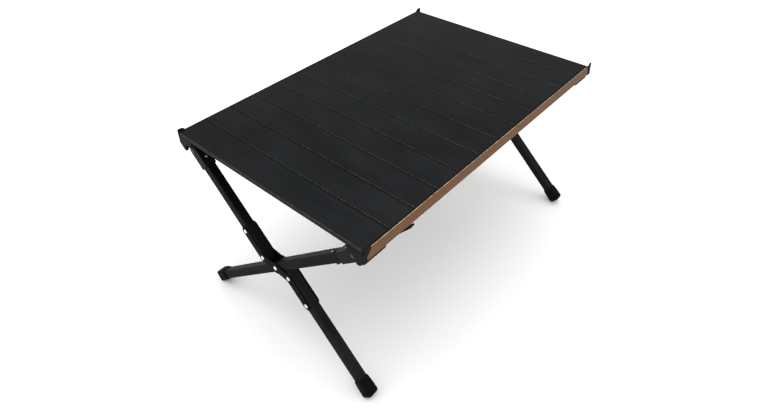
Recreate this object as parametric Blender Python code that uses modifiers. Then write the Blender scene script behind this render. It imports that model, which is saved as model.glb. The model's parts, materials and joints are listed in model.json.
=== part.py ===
"""Folding camp table: a roll-up slatted top that drops into two rails, carried by two crossed leg frames.

Metres, +Z up. The origin is on the ground under the middle of the top. +X runs along the slats, from the
left rail to the right one, and +Y runs along the rails, from the front pair of legs to the rear pair.

A leg is drawn in its own axes: X runs down the leg from the hinge at its top, Z points out of its lower
side and the leg's middle plane is Y = 0. The straight leg hangs from the right rail and stands on the left.
The cranked leg hangs from the left rail. It is two lengths of tube, joined across the straight leg by a pair
of plates.
"""

import math

import bmesh
import bpy
from mathutils import Matrix, Vector

# The fit between two pieces that touch, and around a pin in its hole
FIT = 0.0003
ARC_STEP = math.radians(22.5)

# Slats: hollow extrusions lying side by side. The top lies a little forward of the middle of its rails
SLAT_COUNT = 12
SLAT_LENGTH = 0.445
SLAT_WIDTH = 0.0567
SLAT_HEIGHT = 0.008
SLAT_WALL = 0.0012
SLAT_EDGE = 0.0012
TOP_FORWARD = 0.005

# Rails: a box tube with a flat strip on its outer side, whose top edge is a lip round the slats' ends
TOP_HEIGHT = 0.374
LIP_CLEARANCE = 0.002
RAIL_WIDTH = 0.017
RAIL_DEPTH = 0.0137
RAIL_WALL = 0.0015
RAIL_EDGE = 0.0007

# Legs: square tube, crossed at a pivot
TUBE = 0.018
TUBE_WALL = 0.0015
TUBE_CORNER = 0.002
PIVOT_DROP = 0.1615
CRANK = 0.0212
RIVET_PITCH = 0.056
RIVET_SETBACK = 0.0264
RIVET_END = 0.013
PLATE = 0.002
BOSS_RADIUS = 0.012
RIVET_RADIUS = 0.0025
RIVET_HEAD = 0.0042
RIVET_DOME = 0.0014

# The sleeve on the top of each leg ends in a fork, which holds the tongue of the hinge block
SLEEVE_WALL = 0.0012
SLEEVE_LENGTH = 0.038
SLEEVE_WEB = 0.0015
KNUCKLE_GAP = 0.001
HINGE_INSET = 0.012
FRAME_INSET = 0.011
TONGUE = 0.010
TONGUE_RADIUS = 0.0095
NECK_HEIGHT = 0.012
PIN_RADIUS = 0.0025
PIN_HEAD = 0.004
PIN_HEAD_HEIGHT = 0.001

# The corner fitting: an end plate, a plug in the rail and a saddle that holds the block's trunnion
HINGE_DROP = 0.0095
TRUNNION_RADIUS = 0.004
TRUNNION_LENGTH = 0.0045
SADDLE_INSET = 0.0025
SADDLE_WIDTH = 0.0105
SADDLE_REACH = 0.0455
SADDLE_DEPTH = 0.0092
BEARING_RADIUS = 0.008
BEARING_WIDTH = 0.0035
PLUG_LENGTH = 0.020
END_PLATE = 0.0047
END_PLATE_WIDTH = 0.0375
END_PLATE_DROP = 0.0345
END_PLATE_BEVEL = 0.0120
END_PLATE_TOP = 0.0086
CHEEK = 0.0012
CHEEK_TOP = 0.0150
CHEEK_DROP = 0.0120
PRONG_HEIGHT = 0.004
PRONG_WIDTH = 0.0022
PRONG_LENGTH = 0.009

# Feet: rubber boots, flat where they stand
FOOT_WALL = 0.0027
FOOT_LENGTH = 0.036
FOOT_FLOOR = 0.006
FOOT_EDGE = 0.003
FOOT_LIFT = 0.0065

# Stays: a flat bar that turns on a pin through the leg and is bent away from the leg towards its free end
STAY_WIDTH = 0.012
STAY_THICKNESS = 0.003
STAY_LENGTH = 0.1278
STAY_FLAT = 0.009
STAY_RISE = 0.0117
STAY_BEVEL = 0.0098
STAY_AT = 0.060
STAY_ANGLE = math.radians(59.4)
STAY_PIN = 0.0025

# Places that follow from the sizes
SLAT_PITCH = SLAT_WIDTH + FIT
RAIL_LENGTH = SLAT_COUNT * SLAT_PITCH
RAIL_END = RAIL_LENGTH / 2
RAIL_OUTER = SLAT_LENGTH / 2 + LIP_CLEARANCE + RAIL_WALL
RAIL_INNER = RAIL_OUTER - RAIL_WIDTH
TUBE_OUTER = RAIL_OUTER - RAIL_WALL - FIT
SHELF_Z = TOP_HEIGHT - SLAT_HEIGHT - FIT
RAIL_BOTTOM = SHELF_Z - RAIL_DEPTH
SLEEVE = TUBE + 2 * (FIT + SLEEVE_WALL)
FRAME_Y = RAIL_END - FRAME_INSET
HINGE_X = RAIL_INNER - HINGE_INSET
HINGE_Z = RAIL_BOTTOM - HINGE_DROP
PIVOT_Z = HINGE_Z - PIVOT_DROP
PIVOT_AT = math.hypot(HINGE_X, PIVOT_DROP)
STRAIGHT_TILT = math.atan2(PIVOT_DROP, HINGE_X)
CRANKED_TILT = STRAIGHT_TILT + math.asin(CRANK / PIVOT_AT)
CRANK_AT = math.sqrt(PIVOT_AT ** 2 - CRANK ** 2)
TUBE_START = TONGUE_RADIUS + KNUCKLE_GAP + SLEEVE_WEB
PLATE_Y = TUBE / 2 + FIT + PLATE / 2
SADDLE_X = RAIL_INNER + SADDLE_INSET
CAP_OUTER = RAIL_OUTER + FIT + CHEEK
END_PLATE_Y = RAIL_END + FIT + END_PLATE

FRONT, REAR = -1, 1
LEFT, RIGHT = -1, 1
X, Y, Z = Vector((1, 0, 0)), Vector((0, 1, 0)), Vector((0, 0, 1))


def clear_scene():
    """Remove the scene's objects"""
    for obj in list(bpy.data.objects):
        bpy.data.objects.remove(obj, do_unlink=True)


def new_collection(name):
    """A collection in the scene"""
    group = bpy.data.collections.new(name)
    bpy.context.scene.collection.children.link(group)
    return group


def new_material(name, colour, metallic, roughness):
    """A Principled material; the colour is linear"""
    material = bpy.data.materials.new(name)
    material.use_nodes = True
    shader = material.node_tree.nodes["Principled BSDF"]
    shader.inputs["Base Color"].default_value = (*colour, 1.0)
    shader.inputs["Metallic"].default_value = metallic
    shader.inputs["Roughness"].default_value = roughness
    return material


def axes(origin, x_axis, y_axis):
    """The matrix that puts a mesh's origin, X and Y on the given point and directions"""
    x_axis, y_axis = Vector(x_axis).normalized(), Vector(y_axis).normalized()
    columns = Matrix((x_axis, y_axis, x_axis.cross(y_axis))).transposed()
    return Matrix.Translation(origin) @ columns.to_4x4()


def arc(centre, radius, start, end):
    """Points on an arc, from one angle to another in radians"""
    count = max(2, math.ceil(abs(end - start) / ARC_STEP))
    angles = [start + (end - start) * i / count for i in range(count + 1)]
    return [(centre[0] + radius * math.cos(a), centre[1] + radius * math.sin(a)) for a in angles]


def circle(centre, radius):
    """Points on a circle"""
    return arc(centre, radius, 0, 2 * math.pi)[:-1]


def rectangle(x_low, y_low, x_high, y_high):
    """A rectangle's corners"""
    return [(x_low, y_low), (x_high, y_low), (x_high, y_high), (x_low, y_high)]


def rounded(corners, radius):
    """An outline with each corner rounded; radius is one value, or one for each corner"""
    radii = radius if isinstance(radius, (list, tuple)) else [radius] * len(corners)
    outline = []
    for i, corner in enumerate(corners):
        here = Vector(corner)
        back = (Vector(corners[i - 1]) - here).normalized()
        ahead = (Vector(corners[(i + 1) % len(corners)]) - here).normalized()
        if radii[i] == 0:
            outline.append(tuple(here))
            continue
        half = math.acos(max(-1, min(1, back.dot(ahead)))) / 2
        centre = here + (back + ahead).normalized() * radii[i] / math.sin(half)
        first = here + back * radii[i] / math.tan(half) - centre
        turn = math.pi - 2 * half
        if back.cross(ahead) > 0:
            turn = -turn
        start = math.atan2(first.y, first.x)
        outline += arc(centre, radii[i], start, start + turn)
    return outline


def ribbon(path, half_width):
    """One side of a band along a path, from a round end at its start to just before its far end"""
    side = []
    first = Vector(path[1]) - Vector(path[0])
    heading = math.atan2(first.y, first.x)
    side += arc(path[0], half_width, heading + 1.5 * math.pi, heading + 0.5 * math.pi)
    for i in range(1, len(path) - 1):
        before = (Vector(path[i]) - Vector(path[i - 1])).normalized()
        after = (Vector(path[i + 1]) - Vector(path[i])).normalized()
        normal = (Vector((-before.y, before.x)) + Vector((-after.y, after.x))).normalized()
        reach = half_width / normal.dot(Vector((-after.y, after.x)))
        side.append(tuple(Vector(path[i]) + normal * reach))
    return side


def weld(mesh):
    """Merge the coincident points of a mesh"""
    work = bmesh.new()
    work.from_mesh(mesh)
    bmesh.ops.remove_doubles(work, verts=work.verts, dist=1e-6)
    work.to_mesh(mesh)
    work.free()
    return mesh


def flat_mesh(outlines, thickness):
    """A flat outline in X and Y, with any further outlines as holes in it, and its thickness along Z"""
    curve = bpy.data.curves.new("outline", "CURVE")
    curve.dimensions = "2D"
    curve.fill_mode = "BOTH"
    curve.extrude = thickness / 2
    for outline in outlines:
        spline = curve.splines.new("POLY")
        spline.points.add(len(outline) - 1)
        for point, (x, y) in zip(spline.points, outline):
            point.co = (x, y, 0, 1)
        spline.use_cyclic_u = True
    obj = bpy.data.objects.new("outline", curve)
    cutters.objects.link(obj)
    mesh = bpy.data.meshes.new_from_object(obj.evaluated_get(bpy.context.evaluated_depsgraph_get()))
    bpy.data.objects.remove(obj, do_unlink=True)
    return weld(mesh)


def box_mesh(low, high):
    """A box between two corners"""
    low, high = Vector(low), Vector(high)
    work = bmesh.new()
    bmesh.ops.create_cube(work, size=1, matrix=Matrix.Translation((low + high) / 2) @ Matrix.Diagonal(
        (*(high - low), 1)))
    mesh = bpy.data.meshes.new("box")
    work.to_mesh(mesh)
    work.free()
    return mesh


def cylinder_mesh(start, end, radius):
    """A cylinder from one point to another"""
    start, end = Vector(start), Vector(end)
    turn = (end - start).to_track_quat("Z", "Y").to_matrix().to_4x4()
    work = bmesh.new()
    bmesh.ops.create_cone(work, cap_ends=True, segments=16, radius1=radius, radius2=radius,
                          depth=(end - start).length, matrix=Matrix.Translation((start + end) / 2) @ turn)
    mesh = bpy.data.meshes.new("cylinder")
    work.to_mesh(mesh)
    work.free()
    return mesh


def turned_mesh(profile):
    """A profile of (radius, height) points, top to bottom, turned about Z"""
    mesh = bpy.data.meshes.new("profile")
    mesh.from_pydata([(r, 0, z) for r, z in profile], [(i, i + 1) for i in range(len(profile) - 1)], [])
    obj = bpy.data.objects.new("profile", mesh)
    cutters.objects.link(obj)
    screw = obj.modifiers.new("turn", "SCREW")
    screw.steps = screw.render_steps = 14
    screw.use_merge_vertices = True
    screw.merge_threshold = 1e-5
    return evaluated(obj)


def evaluated(obj):
    """The mesh of an object with its modifiers; the object is removed"""
    mesh = bpy.data.meshes.new_from_object(obj.evaluated_get(bpy.context.evaluated_depsgraph_get()))
    bpy.data.objects.remove(obj, do_unlink=True)
    return mesh


def combined(base, tools, operation):
    """A mesh joined with others, or cut by them"""
    obj = bpy.data.objects.new("work", base)
    cutters.objects.link(obj)
    helpers = []
    for tool in tools:
        helper = bpy.data.objects.new("tool", tool)
        helper.hide_render = True
        helper.display_type = "WIRE"
        cutters.objects.link(helper)
        helpers.append(helper)
        step = obj.modifiers.new("step", "BOOLEAN")
        step.operation = operation
        step.object = helper
    mesh = evaluated(obj)
    for helper in helpers:
        bpy.data.objects.remove(helper, do_unlink=True)
    return weld(mesh)


def moved(mesh, matrix):
    """A mesh moved by a matrix; a mirroring matrix also turns its faces the right way out"""
    mesh.transform(matrix)
    if matrix.determinant() < 0:
        mesh.flip_normals()
    return mesh


def add_part(name, mesh, material, matrix=Matrix(), parent=None):
    """Place a named part, with its own slot for its material, under its parent"""
    if not mesh.materials:
        mesh.materials.append(None)
        mesh.shade_smooth()
        mesh.set_sharp_from_angle(angle=math.radians(35))
    obj = bpy.data.objects.new(name, mesh)
    obj.material_slots[0].link = "OBJECT"
    obj.material_slots[0].material = material
    table.objects.link(obj)
    if parent:
        obj.parent = parent
        obj.matrix_parent_inverse = parent.matrix_world.inverted()
    obj.matrix_world = matrix
    return obj


def add_axis(name, matrix, parent=None):
    """An empty on a joint's axis, which carries what turns there"""
    empty = bpy.data.objects.new(name, None)
    empty.empty_display_size = 0.02
    table.objects.link(empty)
    if parent:
        empty.parent = parent
        empty.matrix_parent_inverse = parent.matrix_world.inverted()
    empty.matrix_world = matrix
    bpy.context.view_layer.update()
    return empty


def leg_axes(side, end):
    """A leg's own axes at its hinge: side is the rail that it hangs from, end the front or rear frame"""
    tilt = STRAIGHT_TILT if side == RIGHT else CRANKED_TILT
    down = Vector((-side * math.cos(tilt), 0, -math.sin(tilt)))
    return axes((side * HINGE_X, end * FRAME_Y, HINGE_Z), down, (0, side, 0))


def slat_mesh():
    """A hollow slat: Y is its width and Z its height, measured down from its top face"""
    half = SLAT_WIDTH / 2
    outer = rounded(rectangle(-half, -SLAT_HEIGHT, half, 0), SLAT_EDGE)
    inner = rectangle(SLAT_WALL - half, SLAT_WALL - SLAT_HEIGHT, half - SLAT_WALL, -SLAT_WALL)
    return moved(flat_mesh([outer, inner], SLAT_LENGTH), axes((0, 0, 0), Y, Z))


def rail_mesh():
    """The right rail's box tube, whose top is the shelf under the slats' ends"""
    outer = rounded(rectangle(RAIL_INNER, RAIL_BOTTOM, TUBE_OUTER, SHELF_Z), RAIL_EDGE)
    inner = rectangle(RAIL_INNER + RAIL_WALL, RAIL_BOTTOM + RAIL_WALL, TUBE_OUTER - RAIL_WALL, SHELF_Z - RAIL_WALL)
    return moved(flat_mesh([outer, inner], RAIL_LENGTH), axes((0, 0, 0), X, Z))


def lip_mesh():
    """The flat strip on the right rail's outer side"""
    outline = rounded(rectangle(RAIL_OUTER - RAIL_WALL, RAIL_BOTTOM, RAIL_OUTER, TOP_HEIGHT), RAIL_EDGE * 0.8)
    return moved(flat_mesh([outline], RAIL_LENGTH), axes((0, 0, 0), X, Z))


def corner_mesh(side, end):
    """A corner fitting, drawn for the front right corner and mirrored for the others"""
    overlap = END_PLATE / 4
    plate_inner = CAP_OUTER - END_PLATE_WIDTH
    shoulder = HINGE_Z + SLEEVE / 2 + KNUCKLE_GAP
    prong_inner = CAP_OUTER - PRONG_WIDTH
    low = TOP_HEIGHT - END_PLATE_DROP
    side_low = low + END_PLATE_BEVEL
    high = TOP_HEIGHT - END_PLATE_TOP
    tip = TOP_HEIGHT + PRONG_HEIGHT
    leg_side = RAIL_INNER + FIT
    corners = [(plate_inner, shoulder), (leg_side, shoulder), (leg_side, low), (CAP_OUTER - END_PLATE_BEVEL, low),
               (CAP_OUTER, side_low), (CAP_OUTER, tip), (prong_inner, tip), (prong_inner, high),
               (plate_inner, high)]
    plate_outline = rounded(corners, [0.002, 0.001, 0.002, 0.004, 0.002, 0.0008, 0.0008, 0.001, 0.001])
    plate = moved(flat_mesh([plate_outline], END_PLATE), axes((0, END_PLATE / 2 - END_PLATE_Y, 0), X, Z))

    back = -END_PLATE_Y
    cheek_low = TOP_HEIGHT - CHEEK_DROP
    cheek_corners = [(back, cheek_low), (back + END_PLATE, cheek_low), (back + CHEEK_TOP, TOP_HEIGHT),
                     (back + PRONG_LENGTH, tip), (back, tip)]
    cheek_outline = rounded(cheek_corners, [0, 0.001, 0.002, 0.002, 0])
    cheek = moved(flat_mesh([cheek_outline], CHEEK), axes((CAP_OUTER - CHEEK / 2, 0, 0), Y, Z))
    inset = CHEEK / 6
    prong = box_mesh((prong_inner, back + inset, TOP_HEIGHT + FIT),
                     (CAP_OUTER - inset, back + PRONG_LENGTH - 0.002, tip - inset))

    plug = box_mesh((RAIL_INNER + RAIL_WALL + FIT, -RAIL_END - FIT - overlap, RAIL_BOTTOM + RAIL_WALL + FIT),
                    (TUBE_OUTER - RAIL_WALL - FIT, PLUG_LENGTH - RAIL_END, SHELF_Z - RAIL_WALL - FIT))

    saddle_top = RAIL_BOTTOM - FIT
    strip = rounded(rectangle(-RAIL_END - FIT - overlap, saddle_top - SADDLE_DEPTH,
                              SADDLE_REACH - RAIL_END, saddle_top), [0, 0.003, 0, 0])
    saddle = moved(flat_mesh([strip], SADDLE_WIDTH), axes((SADDLE_X + SADDLE_WIDTH / 2, 0, 0), Y, Z))
    bearing = cylinder_mesh((SADDLE_X, -FRAME_Y, HINGE_Z), (SADDLE_X + BEARING_WIDTH, -FRAME_Y, HINGE_Z),
                            BEARING_RADIUS)

    mesh = combined(plate, [cheek, prong, plug, saddle, bearing], "UNION")
    hole = cylinder_mesh((SADDLE_X - 0.01, -FRAME_Y, HINGE_Z),
                         (SADDLE_X + TRUNNION_LENGTH + FIT, -FRAME_Y, HINGE_Z), TRUNNION_RADIUS + FIT)
    mesh = combined(mesh, [hole], "DIFFERENCE")
    return moved(mesh, Matrix.Diagonal((side, -end, 1, 1)))


def block_mesh():
    """A hinge block: a tongue that turns in the leg's fork, and a trunnion along X in the saddle"""
    shoulder = SADDLE_X - FIT - HINGE_X
    tongue = cylinder_mesh((0, -TONGUE / 2, 0), (0, TONGUE / 2, 0), TONGUE_RADIUS)
    neck = box_mesh((0, -TONGUE / 2, -NECK_HEIGHT / 2), (shoulder, TONGUE / 2, NECK_HEIGHT / 2))
    trunnion = cylinder_mesh((shoulder - 0.004, 0, 0), (shoulder + TRUNNION_LENGTH, 0, 0), TRUNNION_RADIUS)
    mesh = combined(tongue, [neck, trunnion], "UNION")
    return combined(mesh, [cylinder_mesh((0, -TONGUE, 0), (0, TONGUE, 0), PIN_RADIUS + FIT)], "DIFFERENCE")


def pin_mesh(half_length, radius, head, height):
    """A headed pin along Y, whose heads start at plus and minus half its length"""
    profile = [(0, half_length + height), (head * 0.6, half_length + height),
               (head, half_length), (radius, half_length)]
    profile += [(r, -z) for r, z in reversed(profile)]
    return moved(turned_mesh(profile), axes((0, 0, 0), Z, X))


def sleeve_mesh():
    """A leg's sleeve, with its fork, its socket for the tube and the hole for the fold pin"""
    half = SLEEVE / 2
    outline = arc((0, 0), half, 1.5 * math.pi, 0.5 * math.pi) + [(SLEEVE_LENGTH, half), (SLEEVE_LENGTH, -half)]
    body = moved(flat_mesh([outline], SLEEVE), axes((0, 0, 0), X, Z))
    slot_end = TONGUE_RADIUS + KNUCKLE_GAP
    slot_half = TONGUE / 2 + FIT
    slot = box_mesh((-SLEEVE, -slot_half, -SLEEVE), (slot_end, slot_half, SLEEVE))
    bore = TUBE / 2 + FIT
    socket = box_mesh((TUBE_START - FIT, -bore, -bore), (SLEEVE_LENGTH + 0.01, bore, bore))
    hole = cylinder_mesh((0, -SLEEVE, 0), (0, SLEEVE, 0), PIN_RADIUS + FIT)
    return combined(body, [slot, socket, hole], "DIFFERENCE")


def tube_mesh(start, end, rivets, stay, offset=0.0):
    """A square tube along a leg, with holes for rivets along Y and for a stay's pin along Z"""
    half = TUBE / 2
    outer = rounded(rectangle(-half, -half, half, half), TUBE_CORNER)
    inner = rectangle(TUBE_WALL - half, TUBE_WALL - half, half - TUBE_WALL, half - TUBE_WALL)
    tube = moved(flat_mesh([outer, inner], end - start), axes(((start + end) / 2, 0, offset), Y, Z))
    holes = [cylinder_mesh((at, -TUBE, offset), (at, TUBE, offset), RIVET_RADIUS + FIT) for at in rivets]
    if stay:
        holes.append(cylinder_mesh((STAY_AT, 0, -TUBE), (STAY_AT, 0, TUBE), STAY_PIN + FIT))
    return combined(tube, holes, "DIFFERENCE")


def leg_length(side):
    """From a leg's hinge to the end of its foot, along the leg"""
    if side == RIGHT:
        return (HINGE_Z - FOOT_LIFT) / math.sin(STRAIGHT_TILT)
    rise = 2 * CRANK * math.cos(CRANKED_TILT)
    return (HINGE_Z + rise - FOOT_LIFT) / math.sin(CRANKED_TILT)


def foot_mesh(side, offset):
    """A rubber boot on a leg's lower end, cut level with the ground"""
    end = leg_length(side)
    half = TUBE / 2 + FIT + FOOT_WALL
    shape = bpy.data.objects.new("foot", box_mesh((end - FOOT_LENGTH, -half, offset - half),
                                                   (end, half, offset + half)))
    cutters.objects.link(shape)
    edge = shape.modifiers.new("edge", "BEVEL")
    edge.width = FOOT_EDGE
    edge.segments = 3
    bore = TUBE / 2 + FIT
    socket = box_mesh((end - FOOT_LENGTH - 0.01, -bore, offset - bore), (end - FOOT_FLOOR, bore, offset + bore))
    ground = box_mesh((-1, -1, -0.1), (1, 1, 0))
    ground.transform(leg_axes(side, FRONT).inverted())
    return combined(evaluated(shape), [socket, ground], "DIFFERENCE")


def crank_points():
    """The cranked leg's four rivets beside the pivot, in X and Z from the pivot"""
    along = Vector((math.cos(CRANKED_TILT), -math.sin(CRANKED_TILT)))
    across = Vector((math.sin(CRANKED_TILT), math.cos(CRANKED_TILT)))
    near = -across * CRANK - along * RIVET_SETBACK
    far = near - along * RIVET_PITCH
    return [far, near, -near, -far]


def plate_mesh():
    """A crossing plate, drawn about the pivot: a band through the four rivets with a boss at its middle"""
    half = TUBE / 2
    path = crank_points()
    link = (path[2] - path[1]).normalized()
    heading = math.atan2(link.y, link.x)
    spread = math.acos(half / BOSS_RADIUS)
    boss = arc((0, 0), BOSS_RADIUS, heading + math.pi / 2 + spread, heading + math.pi / 2 - spread)
    upper = ribbon(path, half)
    side = upper[:-1] + boss + upper[-1:]
    outline = side + [(-x, -y) for x, y in side]
    holes = [circle(point, RIVET_RADIUS + FIT) for point in path + [Vector((0, 0))]]
    return moved(flat_mesh([outline] + holes, PLATE), axes((0, 0, 0), X, Z))


def stay_mesh(inboard):
    """A stay in its leg's axes, turned inboard along plus or minus Y, with its own pin through the leg"""
    face = TUBE / 2 + FIT
    half = STAY_WIDTH / 2
    skin = STAY_THICKNESS / 2
    side = [(-half, -skin), (STAY_FLAT, -skin), (STAY_LENGTH, STAY_RISE - skin), (STAY_LENGTH, STAY_RISE + skin),
            (STAY_FLAT, skin), (-half, skin)]
    bar = moved(flat_mesh([side], STAY_WIDTH * 2), axes((0, 0, 0), X, Z))
    start = arc((0, 0), half, 1.5 * math.pi, 0.5 * math.pi)
    outline = flat_mesh([start + [(STAY_LENGTH - STAY_BEVEL, half), (STAY_LENGTH - 0.0002, -half)]], 4 * STAY_RISE)
    bar = combined(bar, [outline], "INTERSECT")
    pin = cylinder_mesh((0, 0, 0), (0, 0, -TUBE - 2 * FIT - STAY_THICKNESS), STAY_PIN)
    head_at = -skin - TUBE - 2 * FIT
    head = cylinder_mesh((0, 0, head_at - RIVET_DOME), (0, 0, head_at), RIVET_HEAD)
    mesh = combined(bar, [pin, head], "UNION")
    up_leg = Vector((-1, 0, 0))
    bar_way = math.cos(STAY_ANGLE) * up_leg + math.sin(STAY_ANGLE) * Y
    place = axes((STAY_AT, 0, face + skin), bar_way, Z.cross(bar_way))
    return moved(mesh, Matrix.Diagonal((1, inboard, 1, 1)) @ place)


clear_scene()
table = new_collection("folding_camp_table")
cutters = new_collection("cutters")
slat_metal = new_material("black anodised slat", (0.030, 0.030, 0.030), 0.6, 0.42)
rail_metal = new_material("black anodised rail tube", (0.025, 0.025, 0.025), 0.6, 0.42)
lip_metal = new_material("bronze anodised strip", (0.36, 0.17, 0.07), 0.9, 0.35)
leg_metal = new_material("black anodised tube", (0.022, 0.022, 0.022), 0.6, 0.40)
plate_metal = new_material("black plate", (0.022, 0.022, 0.022), 0.6, 0.45)
rivet_metal = new_material("bright rivet", (0.80, 0.80, 0.80), 1.0, 0.30)
pin_metal = new_material("steel pin", (0.45, 0.45, 0.45), 1.0, 0.35)
stay_metal = new_material("black steel stay", (0.03, 0.03, 0.03), 0.5, 0.5)
corner_plastic = new_material("black nylon fitting", (0.022, 0.022, 0.022), 0.0, 0.55)
hinge_plastic = new_material("black nylon hinge", (0.03, 0.03, 0.03), 0.0, 0.5)
foot_rubber = new_material("black rubber foot", (0.02, 0.02, 0.02), 0.0, 0.8)

SIDES = {"right": RIGHT, "left": LEFT}
ENDS = {"front": FRONT, "rear": REAR}

# Rails and their corner fittings
rail = rail_mesh()
lip = lip_mesh()
carriers = {}
for side_name, side in SIDES.items():
    turn = Matrix.Rotation(0 if side == RIGHT else math.pi, 4, "Z")
    carriers[side] = add_axis("carrier_" + side_name, Matrix())
    add_part("rail_" + side_name, rail, rail_metal, turn, carriers[side])
    add_part("rail_lip_" + side_name, lip, lip_metal, turn, carriers[side])
    for end_name, end in ENDS.items():
        add_part(f"corner_{end_name}_{side_name}", corner_mesh(side, end), corner_plastic,
                 parent=carriers[side])

# The roll-up top: each slat hangs on the long top edge of the one before it
slat = slat_mesh()
slat_parent = None
for i in range(SLAT_COUNT):
    middle = -RAIL_END - TOP_FORWARD + (i + 0.5) * SLAT_PITCH
    edge = add_axis(f"slat_edge_{i + 1}", Matrix.Translation((0, middle - SLAT_PITCH / 2, TOP_HEIGHT)), slat_parent)
    add_part(f"slat_{i + 1}", slat, slat_metal, Matrix.Translation((0, middle, TOP_HEIGHT)), edge)
    slat_parent = edge

# Meshes that the front and rear frames share
block = block_mesh()
fold_pin = pin_mesh(SLEEVE / 2 + FIT, PIN_RADIUS, PIN_HEAD, PIN_HEAD_HEIGHT)
rivet = pin_mesh(PLATE_Y + PLATE / 2 + FIT, RIVET_RADIUS, RIVET_HEAD, RIVET_DOME)
sleeve = sleeve_mesh()
plate = plate_mesh()
lower_offset = -2 * CRANK
near_hole = CRANK_AT - RIVET_SETBACK
far_hole = CRANK_AT + RIVET_SETBACK
lower_tube = tube_mesh(far_hole - RIVET_END, leg_length(LEFT) - FOOT_FLOOR - FIT,
                       [far_hole, far_hole + RIVET_PITCH], False, lower_offset)
straight_foot = foot_mesh(RIGHT, 0.0)
cranked_foot = foot_mesh(LEFT, lower_offset)

# One stay for each pair of legs: under the right rail in front, and under the left rail at the rear
for end_name, end in ENDS.items():
    straight_tube = tube_mesh(TUBE_START, leg_length(RIGHT) - FOOT_FLOOR - FIT, [PIVOT_AT], end == FRONT)
    upper_tube = tube_mesh(TUBE_START, near_hole + RIVET_END, [near_hole, near_hole - RIVET_PITCH], end == REAR)

    # Hinge blocks, each on its trunnion under a rail
    swings = {}
    for side_name, side in SIDES.items():
        hinge = (side * HINGE_X, end * FRAME_Y, HINGE_Z)
        turned = axes(hinge, side * X, side * Y)
        swings[side] = add_axis(f"swing_{end_name}_{side_name}", turned, carriers[side])
        add_part(f"hinge_block_{end_name}_{side_name}", block, hinge_plastic, turned, swings[side])
        add_part(f"fold_pin_{end_name}_{side_name}", fold_pin, pin_metal, Matrix.Translation(hinge), swings[side])

    # The straight leg, from the right rail down to the left foot
    place = leg_axes(RIGHT, end)
    fold = add_axis(f"fold_{end_name}_right", place, swings[RIGHT])
    add_part(f"leg_sleeve_{end_name}_right", sleeve, hinge_plastic, place, fold)
    add_part(f"leg_{end_name}_straight", straight_tube, leg_metal, place, fold)
    add_part(f"foot_{end_name}_left", straight_foot, foot_rubber, place, fold)
    if end == FRONT:
        add_part("stay_front_right", stay_mesh(-end), stay_metal, place, fold)

    # The cranked leg, from the left rail down to the right foot
    place = leg_axes(LEFT, end)
    fold = add_axis(f"fold_{end_name}_left", place, swings[LEFT])
    add_part(f"leg_sleeve_{end_name}_left", sleeve, hinge_plastic, place, fold)
    add_part(f"leg_{end_name}_upper", upper_tube, leg_metal, place, fold)
    add_part(f"leg_{end_name}_lower", lower_tube, leg_metal, place, fold)
    add_part(f"foot_{end_name}_right", cranked_foot, foot_rubber, place, fold)
    if end == REAR:
        add_part("stay_rear_left", stay_mesh(end), stay_metal, place, fold)

    # The plates and rivets at the crossing
    pivot = Vector((0, end * FRAME_Y, PIVOT_Z))
    for plate_name, plate_side in (("outer", end), ("inner", -end)):
        add_part(f"crossing_plate_{end_name}_{plate_name}", plate, plate_metal,
                 Matrix.Translation(pivot + plate_side * PLATE_Y * Y), fold)
    add_part(f"pivot_rivet_{end_name}", rivet, rivet_metal, Matrix.Translation(pivot), fold)
    for i, point in enumerate(crank_points()):
        add_part(f"plate_rivet_{end_name}_{i + 1}", rivet, rivet_metal,
                 Matrix.Translation(pivot + Vector((point.x, 0, point.y))), fold)
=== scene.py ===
"""Dresses the folding camp table: finer slats, tubes, rivets and feet, the finishes and a plain studio.

Metres, in the frame's own axes: +Z up, +X along the slats, +Y along the rails, the ground at zero.
"""

import json
import math

import bpy
import numpy as np
from mathutils import Matrix, Vector


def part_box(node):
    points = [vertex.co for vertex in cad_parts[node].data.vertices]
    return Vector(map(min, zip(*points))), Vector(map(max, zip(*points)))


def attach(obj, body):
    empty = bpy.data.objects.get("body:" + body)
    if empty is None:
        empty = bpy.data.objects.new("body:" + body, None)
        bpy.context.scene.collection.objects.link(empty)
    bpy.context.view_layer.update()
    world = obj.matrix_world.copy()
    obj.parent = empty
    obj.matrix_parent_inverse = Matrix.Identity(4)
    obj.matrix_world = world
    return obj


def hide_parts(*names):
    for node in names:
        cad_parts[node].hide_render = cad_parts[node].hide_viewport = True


bl_info = {
    "name": "Folding camp table",
    "version": (1, 0, 0),
    "blender": (4, 5, 0),
    "location": "3D View > Sidebar > Camp table",
    "description": "Roll-top camp table: slats, plugs, rails, leg tubes, rivets, feet, fittings and a studio",
    "category": "Add Mesh",
}

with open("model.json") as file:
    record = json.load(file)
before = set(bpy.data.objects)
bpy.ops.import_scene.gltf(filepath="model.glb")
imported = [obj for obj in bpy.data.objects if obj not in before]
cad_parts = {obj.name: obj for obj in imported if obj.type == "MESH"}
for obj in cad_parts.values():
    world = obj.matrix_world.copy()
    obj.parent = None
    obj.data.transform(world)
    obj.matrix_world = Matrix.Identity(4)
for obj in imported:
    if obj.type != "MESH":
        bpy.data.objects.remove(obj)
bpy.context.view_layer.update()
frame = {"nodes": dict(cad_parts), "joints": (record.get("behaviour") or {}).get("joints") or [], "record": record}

SLATS = sorted((n for n in frame["nodes"] if n.startswith("slat_")), key=lambda n: int(n.split("_")[1]))
ENDS = {"front": -1, "rear": 1}
SIDES = {"right": 1, "left": -1}
JOINTS = {joint["name"]: joint for joint in frame["joints"]}
BODY_OF = {node: body for body, nodes in frame["record"]["behaviour"]["bodies"].items() for node in nodes}

# The frame's own places, read from its joints
HINGE = np.array(JOINTS["fold_front_right"]["pos_m"])
PIVOT = np.array(JOINTS["pivot_front"]["pos_m"])

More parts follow.
